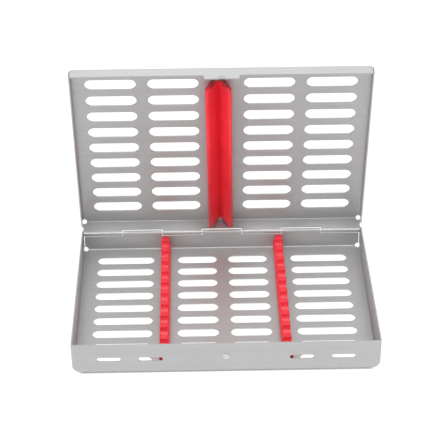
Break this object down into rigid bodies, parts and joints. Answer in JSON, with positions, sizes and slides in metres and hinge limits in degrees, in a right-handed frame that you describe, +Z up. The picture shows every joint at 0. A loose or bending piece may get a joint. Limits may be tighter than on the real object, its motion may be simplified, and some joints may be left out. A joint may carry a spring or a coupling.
{
  "type": "instrument cassette",
  "caption": "Shallow perforated stainless steel cassette with a hinged perforated lid, notched silicone rails in the tray and a silicone hold-down pad in the lid.",
  "frame": {"origin": "centre of the tray's flat underside, on the face that it rests on", "axes": "+X along the width, to the right of someone facing the latch button; +Y from the front wall to the hinge; +Z up out of the open tray"},
  "size_m": [0.2024, 0.1518, 0.1544],
  "materials": {
    "steel_sheet": "satin, fine-brushed stainless sheet",
    "steel_wire": "drawn wire",
    "steel_rivet": "smooth domed rivet head",
    "steel_strip": "folded strip",
    "red_silicone": "soft satin moulded silicone"
  },
  "bodies": {
    "tray": {"base_tray": "steel_sheet", "latch_button": "steel_rivet", "hinge_pin": "steel_wire", "rail_strip_left": "steel_strip", "rail_strip_right": "steel_strip", "rail_left": "red_silicone", "rail_right": "red_silicone"},
    "lid": {"lid_shell": "steel_sheet", "pad_strip": "steel_strip", "hold_down_pad": "red_silicone"}
  },
  "joints": [
    {"name": "lid_hinge", "type": "hinge", "parent": "tray", "child": "lid", "pos_m": [0, 0.07065, 0.0131], "axis": [-1, 0, 0], "range_deg": [-80, 100]}
  ]
}
